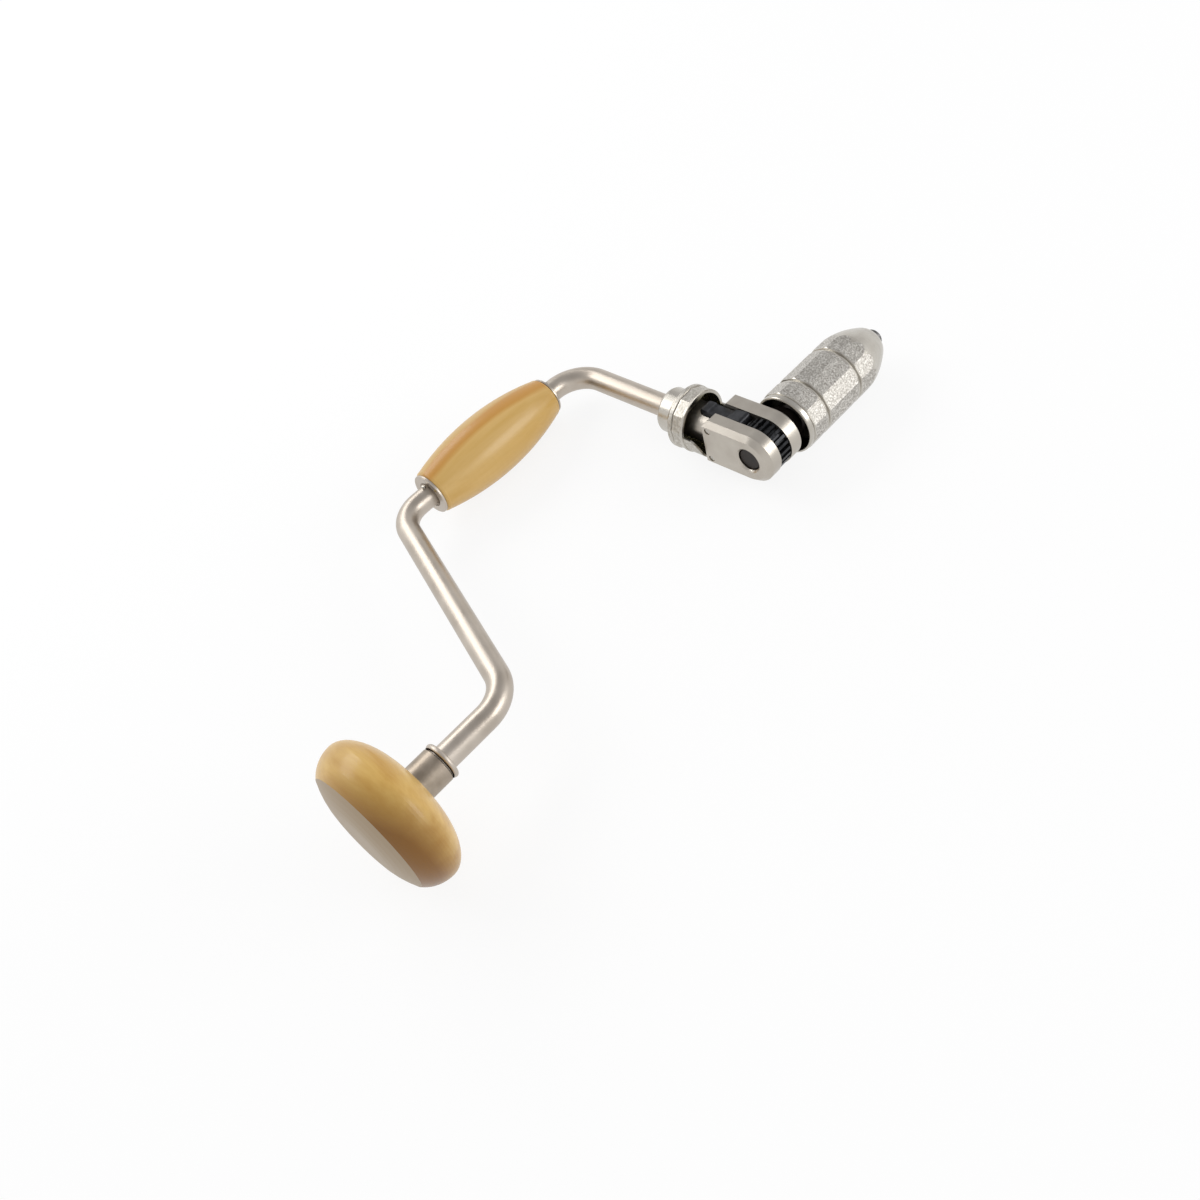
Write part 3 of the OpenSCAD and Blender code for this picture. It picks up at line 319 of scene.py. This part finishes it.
# Cam ring: cast steel cup with a hub, machined on its lip, its groove and its cone, and left rough from the sand
# between them. It turns on the neck behind the box, held by a wire clip, and clicks on a sprung ball.
def sanded_metal(name, axis, inner_r, inner_end, inside_shade, grain, tones, depth, span, turned, centre_at=0):
    """Cast and plated metal: rough from the sand, smooth where a tool has turned it and where it slopes.

    The turned stretches lie in span along its axis. Its inside, up to inner_r from the axis and inner_end along
    it, is painted a darker colour: painted shade in the hollow."""
    made, tree, surface = new_material(name)
    spot = add_node(tree, "ShaderNodeTexCoord")
    place = spot.outputs["Object"]
    specks = add_node(tree, "ShaderNodeTexNoise", {"Vector": place, "Scale": per_mm(grain), "Detail": 2,
                                                   "Roughness": 0.6})
    clouds = add_node(tree, "ShaderNodeTexNoise", {"Vector": place, "Scale": per_mm(9), "Detail": 2})
    facing = add_node(tree, "ShaderNodeSeparateXYZ", {"Vector": spot.outputs["Normal"]})
    tilt = add_node(tree, "ShaderNodeMath", {0: facing.outputs[axis]}, operation="ABSOLUTE")
    level = add_node(tree, "ShaderNodeMapRange", {"Value": tilt.outputs["Value"], "From Min": 0.03,
                                                  "From Max": 0.09, "To Min": 1, "To Max": 0})
    apart = add_node(tree, "ShaderNodeSeparateXYZ", {"Vector": place})
    along = add_node(tree, "ShaderNodeMapRange", {"Value": apart.outputs[axis], "From Min": span[0]*MM,
                                                  "From Max": span[1]*MM})
    edges = [(0, (1, 1, 1, 1))]
    for start, end in turned:
        edges += [((start - span[0])/(span[1] - span[0]), (0, 0, 0, 1)), ((end - span[0])/(span[1] - span[0]), (1, 1, 1, 1))]
    cast = add_node(tree, "ShaderNodeValToRGB", {"Fac": along.outputs["Result"]}, stops=edges)
    cast.color_ramp.interpolation = "CONSTANT"
    rough = add_node(tree, "ShaderNodeMath", {0: level.outputs["Result"], 1: cast.outputs["Color"]},
                     operation="MULTIPLY")
    sand = add_node(tree, "ShaderNodeValToRGB", {"Fac": specks.outputs["Fac"]},
                    stops=[(0.36, linear(tones[0])), (0.5, linear(tones[1])), (0.64, linear(tones[2]))])
    plain = add_node(tree, "ShaderNodeValToRGB", {"Fac": clouds.outputs["Fac"]},
                     stops=[(0.3, linear("#b6b1a8")), (0.7, linear("#c6c2ba"))])
    skin = add_node(tree, "ShaderNodeMix", {"Factor": rough.outputs["Value"]}, data_type="RGBA")
    tree.links.new(plain.outputs["Color"], skin.inputs["A"])
    tree.links.new(sand.outputs["Color"], skin.inputs["B"])
    square = {"X": ("Y", "Z"), "Y": ("X", "Z")}[axis]
    moved = add_node(tree, "ShaderNodeMath", {0: apart.outputs[square[0]], 1: centre_at*MM}, operation="SUBTRACT")
    arm = add_node(tree, "ShaderNodeCombineXYZ", {"X": moved.outputs["Value"], "Y": apart.outputs[square[1]]})
    radius = add_node(tree, "ShaderNodeVectorMath", {0: arm.outputs["Vector"]}, operation="LENGTH")
    near = add_node(tree, "ShaderNodeMath", {0: radius.outputs["Value"], 1: inner_r*MM}, operation="LESS_THAN")
    within = add_node(tree, "ShaderNodeMath", {0: apart.outputs[axis], 1: inner_end*MM}, operation="LESS_THAN")
    inside = add_node(tree, "ShaderNodeMath", {0: near.outputs["Value"], 1: within.outputs["Value"]},
                      operation="MULTIPLY")
    # Painted shade: the inside of the hollow is mixed to a darker colour.
    inside_shade_mix = add_node(tree, "ShaderNodeMix", {"Factor": inside.outputs["Value"]}, data_type="RGBA")
    tree.links.new(skin.outputs["Result"], inside_shade_mix.inputs["A"])
    inside_shade_mix.inputs["B"].default_value = linear(inside_shade)
    tree.links.new(inside_shade_mix.outputs["Result"], surface.inputs["Base Color"])
    gloss = add_node(tree, "ShaderNodeMapRange", {"Value": rough.outputs["Value"], "To Min": 0.27, "To Max": 0.4})
    tree.links.new(gloss.outputs["Result"], surface.inputs["Roughness"])
    bite = add_node(tree, "ShaderNodeMath", {0: rough.outputs["Value"], 1: depth}, operation="MULTIPLY")
    relief = add_node(tree, "ShaderNodeBump", {"Height": specks.outputs["Fac"], "Strength": bite.outputs["Value"],
                                               "Distance": 0.2*MM})
    tree.links.new(relief.outputs["Normal"], surface.inputs["Normal"])
    surface.inputs["Metallic"].default_value = 1
    return made


# The cup's inside is painted a darker greenish grey, as painted shade.
ring_nickel = sanded_metal("satin_nickel_on_cast_ring", "Y", 14.6, 47, "#8a8775", 1.2,
                           ("#a8a39a", "#b9b5ac", "#cac6bf"), 0.3, (27, 60), [(37.9, 39.6), (44, 45.2), (46.8, 60)], arm_x)
finish_node("cam_ring", ring_nickel)
for name in ("ring_clip", "detent_ball", "detent_spring"):
    finish_node(name, bright_steel)


# Ratchet wheel: cut from bar, hardened and blackened like the pawls, and pinned to the spindle in the fork.
wheel_oxide = worn_metal("black_oxide_on_cut_teeth", "#17181a", "#2f3033", (0.2, 0.34), metallic=0.7, patch=2)
finish_node("ratchet_wheel", wheel_oxide)
break_edges("ratchet_wheel", 0.15)
finish_node("wheel_pin", bright_steel)


# Spindle: turned steel, browned and oiled. It runs through the box, bears on a bronze washer that grease has
# blackened, and carries the shell's thread and the jaws' slot.
browned_steel = worn_metal("browned_steel", "#1d1815", "#2c2521", (0.3, 0.42), metallic=0.6, patch=3)
finish_node("chuck_spindle", browned_steel)
greased_bronze = worn_metal("greased_bronze", "#241f1a", "#3a3127", (0.35, 0.5), metallic=0.6, patch=3)
finish_node("thrust_washer", greased_bronze)


# Shell: a steel casting, left rough on its flats and turned on the shoulders between them, on the rim and on
# the nose. Inside are the thread and, in the nose, a cone on a ring of balls that closes the jaws.
# The shell's bore is painted near black, as painted shade.
shell_nickel = sanded_metal("satin_nickel_on_cast_shell", "X", 15.1, 330, "#1c1b18", 0.75,
                            ("#96918a", "#b9b5ae", "#dad7d1"), 0.45, (275, 350),
                            [(275, 279.4), (288.8, 291.8), (315.1, 318.1), (333, 350)])
finish_node("chuck_shell", shell_nickel)
for name in ("jaw_cone", "shell_balls"):
    finish_node(name, bright_steel)


# Jaws: two hardened halves with a round bore for the bit's shank, dark from the furnace. Their heels rock in the
# spindle's slot, and a small spring between them opens them.
dark_steel = worn_metal("hardened_dark_steel", "#5d5b5b", "#7b7978", (0.32, 0.42), metallic=0.9, patch=3)
for name in ("jaw_upper", "jaw_lower"):
    finish_node(name, dark_steel)
    break_edges(name, 0.2)
finish_node("jaw_spring", bright_steel)


# Table: a wide sheet of white paper. The brace lies on it on its head's edge, its grip and its shell,
# so the sheet leans a little in the brace's own frame.
table_up = Vector((-0.068, -0.059, 0.996)).normalized()
resting = [node[name] for name in ("head_knob", "grip", "chuck_shell")]
table_height = min(vert.co.dot(table_up) for thing in resting for vert in thing.data.vertices)
shape = bmesh.new()
lean = table_up.to_track_quat("Z", "Y").to_matrix().to_4x4()
bmesh.ops.create_grid(shape, x_segments=1, y_segments=1, size=6, matrix=Matrix.Translation(table_up*table_height) @ lean)
mesh = bpy.data.meshes.new("table")
shape.to_mesh(mesh)
shape.free()
paper, tree, surface = new_material("white_paper")
surface.inputs["Base Color"].default_value = linear("#f7f7f7")
surface.inputs["Roughness"].default_value = 0.9
surface.inputs["Specular IOR Level"].default_value = 0.1
rays = add_node(tree, "ShaderNodeLightPath")
seen = add_node(tree, "ShaderNodeMath", {0: rays.outputs["Is Camera Ray"], 1: rays.outputs["Is Glossy Ray"]},
                operation="MAXIMUM")
seen = add_node(tree, "ShaderNodeMath", {0: seen.outputs["Value"], 1: rays.outputs["Is Transmission Ray"]},
                operation="MAXIMUM")
share = add_node(tree, "ShaderNodeMath", {0: seen.outputs["Value"], 1: 0.85}, operation="MULTIPLY")
lit = add_node(tree, "ShaderNodeEmission", {"Color": (1, 1, 1, 1), "Strength": 1})
sheet = add_node(tree, "ShaderNodeMixShader", {"Fac": share.outputs["Value"]})
tree.links.new(surface.outputs["BSDF"], sheet.inputs[1])
tree.links.new(lit.outputs["Emission"], sheet.inputs[2])
tree.links.new(sheet.outputs["Shader"], tree.nodes["Material Output"].inputs["Surface"])
mesh.materials.append(paper)
table = bpy.data.objects.new("table", mesh)
bpy.context.scene.collection.objects.link(table)


# Studio: a pale dome that is dimmer overhead, one wide soft lamp behind the crank and one at the right.
world = bpy.data.worlds.new("studio_dome")
bpy.context.scene.world = world
world.use_nodes = True
tree = world.node_tree
height = add_node(tree, "ShaderNodeSeparateXYZ", {"Vector": add_node(tree, "ShaderNodeTexCoord").outputs["Generated"]})
glow = add_node(tree, "ShaderNodeValToRGB", {"Fac": height.outputs["Z"]},
                stops=[(0.25, (1, 1, 1, 1)), (0.8, (0.52, 0.52, 0.53, 1))])
tree.links.new(glow.outputs["Color"], tree.nodes["Background"].inputs["Color"])

centre = (cad_box[0] + cad_box[1])/2


def soft_lamp(name, azimuth, elevation, distance, width, height, power):
    """A rectangular lamp that faces the middle of the brace, azimuth counted from +X towards +Y."""
    lamp = bpy.data.lights.new(name, "AREA")
    lamp.shape = "RECTANGLE"
    lamp.size, lamp.size_y = width, height
    lamp.energy = power
    a, e = math.radians(azimuth), math.radians(elevation)
    away = Vector((math.cos(a)*math.cos(e), math.sin(a)*math.cos(e), math.sin(e)))
    held = bpy.data.objects.new(name, lamp)
    held.location = centre + away*distance
    held.rotation_mode = "QUATERNION"
    held.rotation_quaternion = away.to_track_quat("Z", "Y")
    bpy.context.scene.collection.objects.link(held)


soft_lamp("back_lamp", 100, 42, 1.4, 1.5, 0.6, 9)
soft_lamp("right_lamp", -55, 22, 1.4, 0.9, 0.6, 6)


# Camera: held where the photograph was taken from, with the turn of its frame.
camera = bpy.data.cameras.new("camera")
camera.lens = 33.342
camera.sensor_width = 36
camera.clip_start, camera.clip_end = 0.01, 50
right = Vector((0.66102, -0.71856, -0.21616))
down = Vector((-0.64630, -0.39885, -0.65055))
ahead = right.cross(-down)*-1
held = bpy.data.objects.new("camera", camera)
held.matrix_world = Matrix.Translation((-0.0428, -0.2762, 0.3560)) @ Matrix(
    (right, -down, -ahead)).transposed().to_4x4()
bpy.context.scene.collection.objects.link(held)
bpy.context.scene.camera = held
bpy.context.scene.view_settings.view_transform = "Standard"
